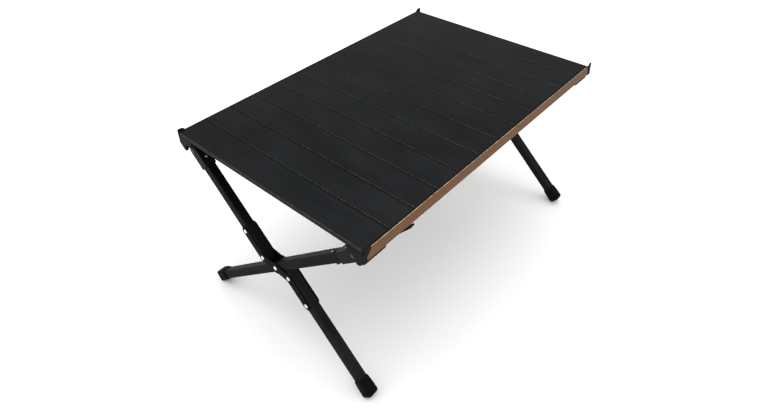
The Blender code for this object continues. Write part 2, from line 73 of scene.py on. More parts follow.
# Sizes that the finer pieces share with the frame
STRIP_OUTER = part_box("rail_lip_right")[1][0]
STRIP_EDGE = 0.0006
STRIP_GUARD = 0.0001
TUBE = 0.018
TUBE_WALL = 0.0015
FIT = 0.0003
CRANK = 0.0212
RIVET_SETBACK = 0.0264
RIVET_END = 0.013
TUBE_START = 0.012
SLEEVE_HALF = 0.0105
SLEEVE_RIVET_AT = 0.0205
STAY_AT = 0.060
STAY_HEAD = 0.0042
CROSSING_GAP = 0.0019
CROSSING_SLOPE = 0.1157
CROSSING_CLEARANCE = 0.0005
FOOT_LENGTH = 0.036
FOOT_FLOOR = 0.006
FOOT_LIFT = 0.0065

# Sizes of the finer pieces: EASE rounds a cut end, and SEAT is the gap between a plug and what it closes
EASE = 0.0003
SEAT = 0.0001
FLANGE_EASE = 0.0004
PLUG_LEAD = 0.001
PLUG_TAPER = 0.0006
PLUG_CORNER = 0.0004
WEDGE_CORNER = 0.0016
WEDGE_BEVEL = 0.8
BORE_CORNER = 0.0008
SHANK = 0.0025
PIN_DOME = 0.001
SLEEVE_SHANK = 0.0015
SLEEVE_DOME = 0.0009
HEAD_COVER = 0.0001
HEAD_BASE = 0.0003
HEAD_SHARE = 0.98
HEAD_SIDES = 28
HEAD_RIM = 0.18
HOLLOW_DEPTH = 0.32
HOLLOW_WIDTH = 0.3
FOOT_COLLAR = 0.0022
FOOT_LIP = 0.0012
FOOT_HALF = 0.0120
FOOT_TAPER = 0.0010
FOOT_CORNER = 0.0046
FOOT_SOLE = 0.0056
FOOT_SOLE_CORNER = 0.0016
FOOT_BORE_CORNER = 0.002
FOOT_RIM_INSET = 0.0009
FOOT_RIM_EASE = 0.0004
FOOT_GROOVE_AT = 0.80
FOOT_GROOVE_WIDTH = 0.022

# Where a slat's front rounding is lightened, scuffing with a painted highlight, as shares of its points from the
# top down; the third share ends it on the first slat. Below the second share the rounding is painted shade, in the
# joint.
SCUFF_HIGHLIGHT_FROM = 0.12
SCUFF_HIGHLIGHT_TO_SHADE_FROM = 0.6
SCUFF_HIGHLIGHT_TO_FIRST = 0.9

# The camera, fitted to the photograph
LENS = 28.601
SENSOR = 36.0
SHIFT = (-0.0031, -0.120)
CAMERA_AT = (0.6487, -0.7693, 0.9893)
CAMERA_RIGHT = (0.75419, 0.65641, -0.01768)
CAMERA_UP = (-0.34744, 0.42176, 0.83750)

# The studio
FLOOR_REACH = 30.0
FLOOR_LEVEL = -0.0004
LAMP_TARGET = (0.0, 0.0, 0.25)
OVERHEAD_AT, OVERHEAD_SIZE = (0.0, 0.1, 3.0), 3.8
FRONT_AT, FRONT_SIZE = (-0.9, -2.4, 1.3), 1.6


def linear(code):
    """An sRGB hex colour as linear red, green, blue and alpha"""
    parts = np.array([int(code[i:i + 2], 16) for i in (1, 3, 5)]) / 255
    parts = np.where(parts <= 0.04045, parts / 12.92, ((parts + 0.055) / 1.055) ** 2.4)
    return (*parts.tolist(), 1.0)


def shade(colour, factor):
    """A colour made lighter or darker by a factor"""
    return (*[min(1.0, part * factor) for part in colour[:3]], 1.0)


# Surfaces


def skin(name, grid, ring=False):
    """A closed mesh over a grid of points, rows by columns.

    Each row is a closed loop and joins the next one. With ring, the last row joins the first, as in a hollow
    tube. Otherwise the first and last rows are filled. The faces are turned outwards by the sign of the volume.
    """
    rows, columns = grid.shape[:2]
    count = rows if ring else rows - 1
    index = np.arange(rows * columns).reshape(rows, columns)
    here = index[:count]
    ahead = np.roll(index, -1, axis=0)[:count]
    quads = np.stack([here, np.roll(here, -1, axis=1), np.roll(ahead, -1, axis=1), ahead], axis=-1).reshape(-1, 4)
    points = grid.reshape(-1, 3)
    a, b, c, d = (points[quads[:, i]] for i in range(4))
    volume = np.einsum("ij,ij->", a, np.cross(b, c)) + np.einsum("ij,ij->", a, np.cross(c, d))
    faces = quads.tolist()
    if not ring:
        first, last = index[0], index[-1]
        for loop, sign in ((first[::-1], 1), (last, 1)):
            middle = points[loop].mean(axis=0)
            p, q = points[loop], points[np.roll(loop, -1)]
            volume += sign * np.einsum("ij,ij->", np.broadcast_to(middle, p.shape), np.cross(p, q))
            faces.append(loop.tolist())
    if volume < 0:
        faces = [face[::-1] for face in faces]
    mesh = bpy.data.meshes.new(name)
    mesh.from_pydata(points.tolist(), [], faces)
    mesh.validate()
    mesh.shade_smooth()
    mesh.set_sharp_from_angle(angle=math.radians(38))
    return mesh


def section(half_a, half_b, radius, steps=6, guard=0.0008):
    """A rounded rectangle: each corner is its centre plus its radius times (cos t, sin t) over a quarter turn.

    The radius is one value, or one for each corner, counted round from where both sides are positive. A guard
    point stands a little way along the flats beside each corner. Returns the points and a wear value, 1 on the
    roundings and 0 on the guards.
    """
    turns = np.linspace(0, np.pi / 2, steps + 1)
    points, wear_highlight_shade = [], []
    for i, (a, b, r) in enumerate(zip((1, -1, -1, 1), (1, 1, -1, -1), np.broadcast_to(radius, 4))):
        t = turns + i * np.pi / 2
        centre = np.array([a * (half_a - r), b * (half_b - r)])
        corner = centre + r * np.stack([np.cos(t), np.sin(t)], axis=-1)
        before = corner[0] + guard * np.array([np.sin(t[0]), -np.cos(t[0])])
        after = corner[-1] + guard * np.array([-np.sin(t[-1]), np.cos(t[-1])])
        points += [before[None], corner, after[None]]
        wear_highlight_shade += [[0.0], np.ones(steps + 1), [0.0]]
    return np.concatenate(points), np.concatenate(wear_highlight_shade)


def carried(loop, stations):
    """Loops of (a, b) points set at stations: for each one, its place along and the loop drawn there"""
    return np.stack([np.concatenate([np.full((len(loop_at), 1), at), loop_at], axis=1)
                     for at, loop_at in zip(stations, loop)])


def placed(grid, origin, columns):
    """A grid of points moved into the frame: the origin plus each point's share of the three directions"""
    return origin + grid @ np.array(columns)


def add_piece(name, mesh, body, material, replaces=(), wear_highlight_shade=None):
    """Puts a piece in the scene, at the origin, riding on its body"""
    if wear_highlight_shade is not None:
        attribute = mesh.attributes.new("wear_highlight_shade", "FLOAT", "POINT")
        attribute.data.foreach_set("value", np.ascontiguousarray(wear_highlight_shade, dtype=np.float32).ravel())
    piece = bpy.data.objects.new(name, mesh)
    bpy.context.scene.collection.objects.link(piece)
    piece.data.materials.append(material)
    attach(piece, body)
    if replaces:
        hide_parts(*replaces)
    return piece


def dress(node, material):
    """Gives a node of the frame its finish"""
    obj = frame["nodes"][node]
    if not obj.material_slots:
        obj.data.materials.append(material)
    for held in obj.material_slots:
        held.material = material


def node_box(node):
    """The middle of a node's box and its half sizes"""
    low, high = (np.array(corner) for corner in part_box(node))
    return (low + high) / 2, (high - low) / 2


def leg_tilt(side):
    """How far a leg slopes down from the level: the cranked one is steeper, by the angle of its crank"""
    tilt = math.atan2(HINGE[2] - PIVOT[2], HINGE[0])
    if side < 0:
        tilt += math.asin(CRANK / math.hypot(HINGE[0], HINGE[2] - PIVOT[2]))
    return tilt


def leg_axes(side, end):
    """A leg's hinge and its three directions: down the leg, along Y, and out of its lower side"""
    tilt = leg_tilt(side)
    origin = np.array([side * HINGE[0], end * abs(HINGE[1]), HINGE[2]])
    down = np.array([-side * math.cos(tilt), 0.0, -math.sin(tilt)])
    across = np.array([0.0, side, 0.0])
    return origin, np.array([down, across, np.cross(down, across)])


def leg_length(side):
    """From a leg's hinge to the end of its foot, along the leg"""
    tilt = leg_tilt(side)
    rise = 0.0 if side > 0 else 2 * CRANK * math.cos(tilt)
    return (HINGE[2] + rise - FOOT_LIFT) / math.sin(tilt)


# Finishes

def add_node(tree, kind, inputs=None, **settings):
    """Adds a node: settings are its own, and each input takes a value or a link from an output"""
    node = tree.nodes.new(kind)
    for key, value in settings.items():
        setattr(node, key, value)
    for key, value in (inputs or {}).items():
        if isinstance(value, bpy.types.NodeSocket):
            tree.links.new(value, node.inputs[key])
        else:
            node.inputs[key].default_value = value
    return node


def new_finish(name, metallic=0.0, specular=0.5):
    """An empty finish: its material, node tree and shader"""
    material = bpy.data.materials.new(name)
    material.use_nodes = True
    tree = material.node_tree
    shader = tree.nodes["Principled BSDF"]
    shader.inputs["Metallic"].default_value = metallic
    shader.inputs["Specular IOR Level"].default_value = specular
    return material, tree, shader


def cloud(tree, size, turn=0.0, detail=3.0):
    """Noise whose features have the given size along X, Y and Z, in metres, turned about Y"""
    place = add_node(tree, "ShaderNodeTexCoord").outputs["Object"]
    fitted = add_node(tree, "ShaderNodeMapping", {"Vector": place, "Rotation": (0.0, turn, 0.0), "Scale": size},
                      vector_type="TEXTURE").outputs["Vector"]
    return add_node(tree, "ShaderNodeTexNoise", {"Vector": fitted, "Scale": 1.0, "Detail": detail}).outputs[0]


def mottle(tree, pattern, first, second, start=0.3, stop=0.7):
    """Two values or colours, one where the pattern is low and the other where it is high"""
    share = add_node(tree, "ShaderNodeMapRange", {"Value": pattern, "From Min": start, "From Max": stop}).outputs[0]
    if isinstance(first, float):
        scaled = add_node(tree, "ShaderNodeMath", {0: share, 1: second - first, 2: first},
                          operation="MULTIPLY_ADD")
        return scaled.outputs[0]
    return add_node(tree, "ShaderNodeMix", {0: share, 6: first, 7: second}, data_type="RGBA").outputs[2]


def relief(tree, shader, heights):
    """Surface relief from pairs of a pattern and its depth in metres, one laid over another"""
    normal = None
    for height, depth in heights:
        inputs = {"Height": height, "Distance": depth, "Strength": 1.0}
        if normal:
            inputs["Normal"] = normal
        normal = add_node(tree, "ShaderNodeBump", inputs).outputs["Normal"]
    tree.links.new(normal, shader.inputs["Normal"])


def anodised_extrusion(name, colour, roughness, streak, turn=0.0, scuff_and_highlight=1.6, glare=0.6, face=None, reach=0.0):
    """Anodised aluminium extrusion, dyed and sealed.

    It has a satin sheen with faint die lines along its length, and a cloudy tone where the dye took unevenly.
    Its edges are painted lighter where its edge value is above zero: scuffing, and on the slats' front edges
    and the strips' top edge a painted highlight as well. Where the value is below zero, in the slats' joints, it is
    painted near black as painted shade. The dyed oxide dims the glare of bare metal at grazing angles to the given
    share. A face is three colours for what lies further than the reach from the table's middle plane: two that its
    dye wanders between, and its lightened edge, scuffing with a painted highlight. Die lines are about 0.1 mm wide;
    they are drawn ten times as wide, because finer ones don't show.
    """
    material, tree, shader = new_finish(name, metallic=1.0)
    shader.inputs["Specular Tint"].default_value = (glare, glare, glare, 1.0)
    lines = cloud(tree, streak, turn, 4.0)
    dye = cloud(tree, (0.09, 0.05, 0.05), turn, 2.0)
    tone = mottle(tree, dye, shade(colour, 0.84), shade(colour, 1.20))
    # The lightened edge colour, here or from the face below: scuffing, with a painted highlight on the slats' front
    # edges and the strips' top edge
    edge = shade(colour, scuff_and_highlight)
    if face:
        first, second, edge = face
        place = add_node(tree, "ShaderNodeTexCoord").outputs["Object"]
        across = add_node(tree, "ShaderNodeSeparateXYZ", {"Vector": place}).outputs["X"]
        away = add_node(tree, "ShaderNodeMath", {0: across}, operation="ABSOLUTE").outputs[0]
        tone = mottle(tree, away, tone, mottle(tree, dye, tuple(first), tuple(second)),
                      reach, reach + 0.0001)
    tone = add_node(tree, "ShaderNodeMix", {0: 1.0, 6: tone, 7: mottle(tree, lines, 0.92, 1.30, 0.40, 0.75)},
                    data_type="RGBA", blend_type="MULTIPLY").outputs[2]
    # The edge value lightens an edge above zero, scuffing with a painted highlight, and darkens it below zero as
    # painted shade
    worn_highlight_shade = add_node(tree, "ShaderNodeAttribute", attribute_name="wear_highlight_shade", attribute_type="GEOMETRY").outputs["Fac"]
    chips = mottle(tree, cloud(tree, (0.006, 0.006, 0.006), 0.0, 5.0), 0.3, 1.0, 0.42, 0.66)
    scuff_and_highlight_share = add_node(tree, "ShaderNodeMath", {0: worn_highlight_shade, 1: chips}, operation="MULTIPLY").outputs[0]
    tone = add_node(tree, "ShaderNodeMix", {0: scuff_and_highlight_share, 6: tone, 7: tuple(edge)},
                    data_type="RGBA").outputs[2]
    # Below zero, in the slats' joints, the colour goes near black: painted shade
    tone = mottle(tree, worn_highlight_shade, shade(colour, 0.03), tone, -1.0, 0.0)
    tree.links.new(tone, shader.inputs["Base Color"])
    tree.links.new(mottle(tree, lines, roughness - 0.06, roughness + 0.10), shader.inputs["Roughness"])
    relief(tree, shader, [(lines, 0.00004), (cloud(tree, (0.0009, 0.0009, 0.0009), 0.0, 2.0), 0.00003)])
    return material


def powder_coat(name, colour, roughness):
    """Powder-coated steel, stamped flat: a low sheen with the fine orange peel of baked powder, 0.6 mm across"""
    material, tree, shader = new_finish(name, specular=0.02)
    peel = cloud(tree, (0.0006, 0.0006, 0.0006), 0.0, 3.0)
    film = cloud(tree, (0.02, 0.02, 0.02), 0.0, 2.0)
    tree.links.new(mottle(tree, film, shade(colour, 0.8), shade(colour, 1.3)), shader.inputs["Base Color"])
    tree.links.new(mottle(tree, peel, roughness - 0.07, roughness + 0.1), shader.inputs["Roughness"])
    relief(tree, shader, [(peel, 0.00008)])
    return material


def moulded_nylon(name, colour, roughness):
    """Glass-filled nylon, injection moulded: dull black with a spark-eroded grain, 0.5 mm across, and flow marks"""
    material, tree, shader = new_finish(name, specular=0.05)
    grain = cloud(tree, (0.0005, 0.0005, 0.0005), 0.0, 4.0)
    flow = cloud(tree, (0.014, 0.03, 0.008), 0.3, 3.0)
    tree.links.new(mottle(tree, flow, shade(colour, 0.75), shade(colour, 1.3)), shader.inputs["Base Color"])
    tree.links.new(mottle(tree, grain, roughness - 0.08, roughness + 0.14), shader.inputs["Roughness"])
    relief(tree, shader, [(grain, 0.00010), (flow, 0.00008)])
    return material


def moulded_rubber(name, colour, roughness):
    """Moulded black rubber: no gloss, a fine pebble 0.8 mm across, and pale dust rubbed in close to the ground"""
    material, tree, shader = new_finish(name, specular=0.05)
    pebble = cloud(tree, (0.0008, 0.0008, 0.0008), 0.0, 3.0)
    bloom = cloud(tree, (0.011, 0.011, 0.011), 0.0, 4.0)
    place = add_node(tree, "ShaderNodeTexCoord").outputs["Object"]
    height = add_node(tree, "ShaderNodeSeparateXYZ", {"Vector": place}).outputs["Z"]
    low = mottle(tree, height, 0.6, 0.0, 0.0, 0.012)
    dust = add_node(tree, "ShaderNodeMath", {0: low, 1: mottle(tree, bloom, 0.1, 1.0, 0.4, 0.65)},
                    operation="MULTIPLY").outputs[0]
    tone = mottle(tree, bloom, shade(colour, 0.8), shade(colour, 1.35))
    tone = add_node(tree, "ShaderNodeMix", {0: dust, 6: tone, 7: shade(colour, 3.0)}, data_type="RGBA").outputs[2]
    tree.links.new(tone, shader.inputs["Base Color"])
    tree.links.new(mottle(tree, pebble, roughness - 0.05, roughness + 0.1), shader.inputs["Roughness"])
    relief(tree, shader, [(pebble, 0.00015)])
    return material


def bright_metal(name, colour, roughness):
    """Cold-headed metal, left bright or plated: a clear shine broken by the tool's fine marks, 0.3 mm across"""
    material, tree, shader = new_finish(name, metallic=1.0)
    marks = cloud(tree, (0.0003, 0.0012, 0.0003), 0.5, 3.0)
    tree.links.new(mottle(tree, marks, shade(colour, 0.85), shade(colour, 1.08)), shader.inputs["Base Color"])
    tree.links.new(mottle(tree, marks, roughness - 0.06, roughness + 0.1), shader.inputs["Roughness"])
    relief(tree, shader, [(marks, 0.00003)])
    return material


def seamless_paper(name, colour):
    """Pale studio paper: dead matt, with a faint tooth 2 mm across and a slow change of tone"""
    material, tree, shader = new_finish(name, specular=0.05)
    tone = cloud(tree, (0.8, 0.8, 0.8), 0.0, 2.0)
    tree.links.new(mottle(tree, tone, shade(colour, 0.985), colour), shader.inputs["Base Color"])
    shader.inputs["Roughness"].default_value = 0.95
    relief(tree, shader, [(cloud(tree, (0.002, 0.002, 0.002), 0.0, 2.0), 0.00005)])
    return material


# Settings


def colour_setting(name, description, code):
    """A colour property whose default is given as sRGB hex"""
    return bpy.props.FloatVectorProperty(name=name, description=description, subtype="COLOR", size=4,
                                         min=0.0, max=1.0, default=linear(code))


def length_setting(name, description, default):
    """A length property in metres"""
    return bpy.props.FloatProperty(name=name, description=description, subtype="DISTANCE", unit="LENGTH",
                                   precision=5, min=0.0, default=default)


class CampTableSizes(bpy.types.PropertyGroup):
    """Sizes of the table's finer pieces"""

    slat_edge: length_setting("Slat front edge", "Rounding of a slat's front top edge", 0.0010)
    slat_back: length_setting("Slat rear edge", "Rounding of a slat's other long edges", 0.0005)
    joint_width: length_setting("Joint width", "Width of the step along a slat's rear top edge", 0.0012)
    joint_depth: length_setting("Joint depth", "Depth of the step along a slat's rear top edge", 0.0026)
    slat_wall: length_setting("Slat wall", "Wall of the slat extrusion", 0.0012)
    plug_flange: length_setting("Plug flange", "Thickness of a slat plug's flange outside the slat", 0.0014)
    plug_depth: length_setting("Plug depth", "How far a plug goes into its slat or tube", 0.012)
    tube_corner: length_setting("Tube corner", "Outer rounding of the leg tube", 0.002)
    rivet_dome: length_setting("Rivet dome", "Height of a rivet's head", 0.0014)
    sleeve_rivet: length_setting("Sleeve rivet", "Radius of the head of the rivet through a sleeve", 0.0020)
    foot_groove: length_setting("Foot groove", "Depth of the ring round a foot near its sole", 0.0009)


class CampTableColours(bpy.types.PropertyGroup):
    """Colours of the table's finishes"""

    slat: colour_setting("Slats", "Black anodising of the slats", "#1e1f20")
    rail: colour_setting("Rail tubes", "Black anodising of the rails' box tubes", "#1c1c1c")
    strip: colour_setting("Rail strips", "Bronze anodising of the rails' outer faces", "#6b543b")
    strip_red: colour_setting("Rail strips, redder", "What the bronze wanders towards", "#714f3f")
    # The pale top edge of the strips: scuffing with a painted highlight
    strip_edge_scuff_highlight: colour_setting("Rail strips' edge", "Bronze rubbed thin along the top edge", "#d0b492")
    tube: colour_setting("Leg tubes", "Black anodising of the legs", "#1e1e1e")
    plate: colour_setting("Plates and stays", "Black powder coat", "#0c0c0c")
    fitting: colour_setting("Corner fittings", "Black nylon of the corners", "#0d0d0d")
    hinge: colour_setting("Hinges and sleeves", "Black nylon of the hinge blocks and sleeves", "#0e0e0e")
    foot: colour_setting("Feet", "Black rubber", "#0a0a0a")
    rivet: colour_setting("Rivets", "Bright aluminium", "#e4e4e2")
    pin: colour_setting("Fold pins", "Blackened steel", "#3a3a3a")


class CampTableStudio(bpy.types.PropertyGroup):
    """The floor and the light"""

    floor: colour_setting("Floor", "Pale studio paper", "#fbfbfa")
    ambient: bpy.props.FloatProperty(name="Ambient", description="Strength of the even light all round",
                                     default=1.12, min=0.0)
    overhead: bpy.props.FloatProperty(name="Overhead", description="Power of the large lamp above",
                                      subtype="POWER", default=42.0, min=0.0)
    front: bpy.props.FloatProperty(name="Front", description="Power of the lamp in front of the first slat",
                                   subtype="POWER", default=5.0, min=0.0)


# Operators


def slat_corners(sizes):
    """A slat's four roundings: rear top, front top, front bottom and rear bottom"""
    return np.array([sizes.slat_back, sizes.slat_edge, sizes.slat_back, sizes.slat_back])


def slat_section(half, sizes, first):
    """A slat's outline: a rounded rectangle with a step along its rear top edge, and each point's value: above zero
    for scuffing with a painted highlight, below zero for painted shade.

    The first quarter of the points, the rear top corner, is moved in by the joint's width. The points beside
    it, on the step's floor, are set at the joint's depth. The front top edge is lightened over its upper half,
    scuffing with a painted highlight, and painted near black below it, as painted shade inside the joint; the
    step's floor is painted shade too. The first slat has no painted shade, and its lightening reaches further down.
    """
    points, _ = section(half[1], half[2], slat_corners(sizes))
    quarter = len(points) // 4
    worn_highlight_shade = np.zeros(len(points))
    floor = half[2] - sizes.joint_depth
    points[:quarter, 0] -= sizes.joint_width
    points[0, 1] = floor
    points[-1] = (half[1], floor)
    front = slice(quarter, 2 * quarter)
    lean = np.linspace(0, 1, quarter)
    # Part of the front rounding is lightened: scuffing with a painted highlight
    worn_highlight_shade[front] = np.where((lean > SCUFF_HIGHLIGHT_FROM) & (lean < (SCUFF_HIGHLIGHT_TO_FIRST if first else SCUFF_HIGHLIGHT_TO_SHADE_FROM)), 1.0, 0.0)
    # Below that, and on the step's floor, the joint is painted near black: painted shade
    if not first:
        worn_highlight_shade[front] = np.where(lean > SCUFF_HIGHLIGHT_TO_SHADE_FROM, -1.0, worn_highlight_shade[front])
        worn_highlight_shade[[0, -1]] = -1.0
    return points, worn_highlight_shade


class CAMPTABLE_OT_slats(bpy.types.Operator):
    """Makes the twelve slats: hollow extrusions, each its outline and a rounded bore carried along X"""

    bl_idname = "camp_table.slats"
    bl_label = "Slats"

    def execute(self, context):
        sizes = context.scene.camp_table_sizes
        # The front edges are lightened strongly, scuffing with a painted highlight; inside the joints they are
        # painted shade
        finish = anodised_extrusion("black anodised slat extrusion", context.scene.camp_table_colours.slat, 0.40,
                                    (0.30, 0.001, 0.001), scuff_and_highlight=3.8, glare=0.64)
        for node in SLATS:
            middle, half = node_box(node)
            outer, wear_highlight_shade = slat_section(half, sizes, node == SLATS[0])
            wall = sizes.slat_wall
            step = sizes.joint_width / 2
            inner, inside = section(half[1] - wall - step, half[2] - wall, sizes.slat_back)
            inner[:, 0] -= step
            ends = (-half[0], half[0], half[0], -half[0])
            grid = carried([outer, outer, inner, inner], ends) + middle
            mesh = skin(node + "_extrusion", grid, ring=True)
            worn_highlight_shade = np.concatenate([wear_highlight_shade, wear_highlight_shade, inside * 0, inside * 0])
            add_piece(node + "_extrusion", mesh, node, finish, [node], worn_highlight_shade)
        return {"FINISHED"}


class CAMPTABLE_OT_slat_plugs(bpy.types.Operator):
    """Makes the plug in each end of each slat: a spigot inside it and a flange that covers its end.

    It is the slat's rounded rectangle carried along X, smaller by an inset that steps down from the spigot to
    the flange.
    """

    bl_idname = "camp_table.slat_plugs"
    bl_label = "Slat plugs"

    def execute(self, context):
        sizes = context.scene.camp_table_sizes
        finish = moulded_nylon("moulded black nylon slat plug", context.scene.camp_table_colours.fitting, 0.55)
        for node in SLATS:
            middle, half = node_box(node)
            wall = sizes.slat_wall + FIT
            for side_name, side in SIDES.items():
                # The inset is the wall and its fit along the spigot, and next to nothing at the flange
                depth, flange, step = sizes.plug_depth, sizes.plug_flange, sizes.joint_width / 2
                along = [-depth, PLUG_LEAD - depth, SEAT, SEAT, flange - FLANGE_EASE, flange]
                insets = [wall + PLUG_TAPER, wall, wall, SEAT, SEAT, SEAT + FLANGE_EASE]
                corners = slat_corners(sizes)
                loops = [section(half[1] - inset - step, half[2] - inset,
                                 np.maximum(PLUG_CORNER, corners - inset * 0.6))[0] for inset in insets]
                grid = carried(loops, along)
                grid[..., 0] = side * (half[0] + grid[..., 0])
                grid[..., 1] -= step
                mesh = skin(f"slat_plug_{node[5:]}_{side_name}", grid + middle)
                add_piece(mesh.name, mesh, node, finish)
        return {"FINISHED"}


class CAMPTABLE_OT_rails(bpy.types.Operator):
    """Finishes the rails' box tubes and makes the strips on their outer sides, bronze on their outer faces.

    A strip is a rounded rectangle carried along Y, a little smaller at its two ends.
    """

    bl_idname = "camp_table.rails"
    bl_label = "Rails"

    def execute(self, context):
        colours = context.scene.camp_table_colours
        tube = anodised_extrusion("black anodised rail tube", colours.rail, 0.42, (0.001, 0.30, 0.001))
        # The strip's outer face is bronze; its top edge is pale: scuffing with a painted highlight
        strip = anodised_extrusion("bronze faced rail strip", colours.rail, 0.36, (0.001, 0.30, 0.001),
                                   face=(colours.strip, colours.strip_red, colours.strip_edge_scuff_highlight),
                                   reach=STRIP_OUTER - STRIP_EDGE)
        for side_name, side in SIDES.items():
            dress("rail_" + side_name, tube)
            node = "rail_lip_" + side_name
            middle, half = node_box(node)
            outline, _ = section(half[0], half[2], STRIP_EDGE, guard=STRIP_GUARD)
            eased, _ = section(half[0] - EASE, half[2] - EASE, STRIP_EDGE - EASE, guard=STRIP_GUARD)
            grid = carried([eased, outline, outline, eased], (-half[1], EASE - half[1], half[1] - EASE, half[1]))
            mesh = skin(node + "_extrusion", placed(grid, middle, [(0, 1, 0), (side, 0, 0), (0, 0, 1)]))
            # Only the outer top edge is lightened: scuffing with a painted highlight
            worn_highlight_shade = np.zeros(grid.shape[:2])
            worn_highlight_shade[:, 1:len(outline) // 4 - 1] = 1.0
            add_piece(mesh.name, mesh, BODY_OF[node], strip, [node], worn_highlight_shade)
        return {"FINISHED"}


def crossing_plug(mouth, way, half, bore, depth):
    """The plug in a cranked leg's tube at the crossing: a spigot in the bore and a wedge outside the mouth.

    The wedge's face lies along the straight leg, a clearance short of it: its distance from the mouth grows in
    a line over the tube's height, by the tangent of the angle between the two legs.
    """
    spigot = bore - SEAT
    loops = [section(size, size, BORE_CORNER)[0] for size in (spigot - PLUG_TAPER, spigot, spigot)]
    loops += [section(half - inset, half - inset, WEDGE_CORNER)[0] for inset in (EASE, EASE, EASE + FLANGE_EASE)]
    inward = (depth, depth - PLUG_LEAD, SEAT, -SEAT, -SEAT, -SEAT)
    grid = carried(loops, [mouth - way * step for step in inward])
    thickness = CROSSING_GAP - CROSSING_CLEARANCE - way * CROSSING_SLOPE * grid[4:, :, 2]
    grid[4:, :, 0] += way * thickness * np.array([[WEDGE_BEVEL], [1.0]])
    return grid


class CAMPTABLE_OT_leg_tubes(bpy.types.Operator):
    """Makes the six leg tubes, hollow and rounded at their corners, with a plug in each end at the crossing.

    A tube is a rounded square carried along its leg on the outside and back again, smaller, on the inside.
    """

    bl_idname = "camp_table.leg_tubes"
    bl_label = "Leg tubes"

    def execute(self, context):
        sizes, colours = context.scene.camp_table_sizes, context.scene.camp_table_colours
        plug_finish = moulded_nylon("moulded black nylon tube plug", colours.fitting, 0.6)
        half, bore = TUBE / 2, TUBE / 2 - TUBE_WALL
        crank_at = math.sqrt(HINGE[0] ** 2 + (HINGE[2] - PIVOT[2]) ** 2 - CRANK ** 2)
        ends = {side: leg_length(side) - FOOT_FLOOR - FIT for side in SIDES.values()}
        upper_end = crank_at - RIVET_SETBACK + RIVET_END
        lower_start = crank_at + RIVET_SETBACK - RIVET_END
        runs = {"straight": (1, TUBE_START, ends[1], 0.0, 0), "upper": (-1, TUBE_START, upper_end, 0.0, 1),
                "lower": (-1, lower_start, ends[-1], -2 * CRANK, -1)}
        outer, wear_highlight_shade = section(half, half, sizes.tube_corner)
        inner = section(bore, bore, BORE_CORNER)[0]
        eased = section(half - EASE, half - EASE, sizes.tube_corner - EASE)[0]
        for run, (side, start, end, offset, plugged) in runs.items():
            finish = anodised_extrusion(f"black anodised {run} leg tube", colours.tube, 0.48,
                                        (0.22, 0.001, 0.001), side * -leg_tilt(side), glare=0.56)
            for end_name, end_sign in ENDS.items():
                origin, columns = leg_axes(side, end_sign)
                lift = np.array([0.0, 0.0, offset])
                stations = (start, start + EASE, end - EASE, end, end, start)
                grid = carried([eased, outer, outer, eased, inner, inner], stations) + lift
                node = f"leg_{end_name}_{run}"
                mesh = skin(node + "_tube", placed(grid, origin, columns), ring=True)
                worn_highlight_shade = np.concatenate([wear_highlight_shade, wear_highlight_shade, wear_highlight_shade, wear_highlight_shade, wear_highlight_shade * 0, wear_highlight_shade * 0])
                add_piece(node + "_tube", mesh, BODY_OF[node], finish, [node], worn_highlight_shade)
                if plugged:
                    mouth = end if plugged > 0 else start
                    grid = crossing_plug(mouth, plugged, half, bore, sizes.plug_depth / 2)
                    mesh = skin(f"tube_plug_{end_name}_{run}", placed(grid + lift, origin, columns))
                    add_piece(mesh.name, mesh, BODY_OF[node], plug_finish)
        return {"FINISHED"}


def head_profile(head, dome, base):
    """A domed head's radii and heights, from its middle out to its rim.

    The height over the radius is part of an ellipse, the dome times the cosine where the radius is the sine,
    on a low rim, less a small hollow in the middle that falls off as the bell curve of the radius.
    """
    turns = np.linspace(0.08, np.pi / 2, 9)
    across = head * np.sin(turns)
    hollow = HOLLOW_DEPTH * dome * np.exp(-(across / (HOLLOW_WIDTH * head)) ** 2)
    return across, base + dome * (HEAD_RIM + (1 - HEAD_RIM) * np.cos(turns)) - hollow


def turned(name, radii, heights, centre, axis):
    """A profile of radii and heights turned about an axis: each point goes round as (cos t, sin t)"""
    angles = np.linspace(0, 2 * np.pi, HEAD_SIDES, endpoint=False)
    grid = np.stack([radii[:, None] * np.cos(angles), radii[:, None] * np.sin(angles),
                     np.broadcast_to(heights[:, None], (len(heights), len(angles)))], axis=-1)
    axis = Vector(axis).normalized()
    side = axis.orthogonal().normalized()
    return skin(name, placed(grid, np.array(centre), [side, axis.cross(side), axis]))


def headed_pin(name, centre, axis, radius, head, reach, dome):
    """A pin with a domed head at each end, turned about its axis"""
    across, high = head_profile(head, dome, reach)
    radii = np.concatenate([across, [head, radius, radius]])
    heights = np.concatenate([high, [reach, reach, 0.0]])
    return turned(name, np.concatenate([radii, radii[-2::-1]]), np.concatenate([heights, -heights[-2::-1]]),
                  centre, axis)


